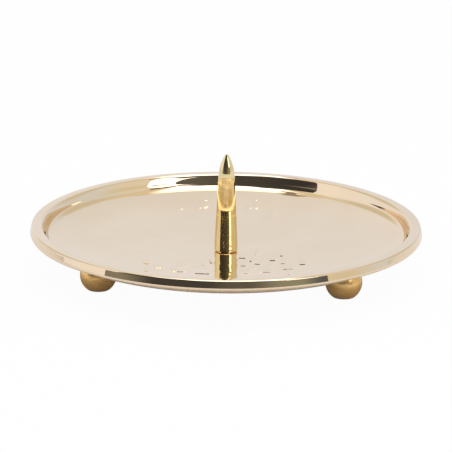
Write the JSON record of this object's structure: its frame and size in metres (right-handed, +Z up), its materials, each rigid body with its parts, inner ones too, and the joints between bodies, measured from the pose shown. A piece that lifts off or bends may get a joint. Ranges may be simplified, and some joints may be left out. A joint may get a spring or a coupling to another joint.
{
  "type": "candle plate",
  "caption": "Round polished brass candle plate: a shallow hammered dish with a solid raised rim, an upright spike in the middle for the candle, and ball feet underneath.",
  "frame": {"origin": "on the table under the spike's axis, at the middle of the overall box's bottom", "axes": "+Z up along the spike; -Y towards the plate's front, with one foot behind on +Y and one at each front side; +X to the right"},
  "size_m": [0.14, 0.14, 0.044],
  "materials": {
    "polished_brass": "polished, lightly hammered in the dish",
    "spike_brass": "turned and hand polished",
    "satin_brass": "satin, tumbled",
    "stud_brass": "plain turned",
    "fastener_steel": "zinc-plated steel"
  },
  "bodies": {
    "root": {"plate": "polished_brass", "spike": "spike_brass", "spike_screw": "fastener_steel", "spike_washer": "fastener_steel", "foot_back": "satin_brass", "foot_left": "satin_brass", "foot_right": "satin_brass", "foot_back_stud": "stud_brass", "foot_left_stud": "stud_brass", "foot_right_stud": "stud_brass"}
  },
  "joints": []
}
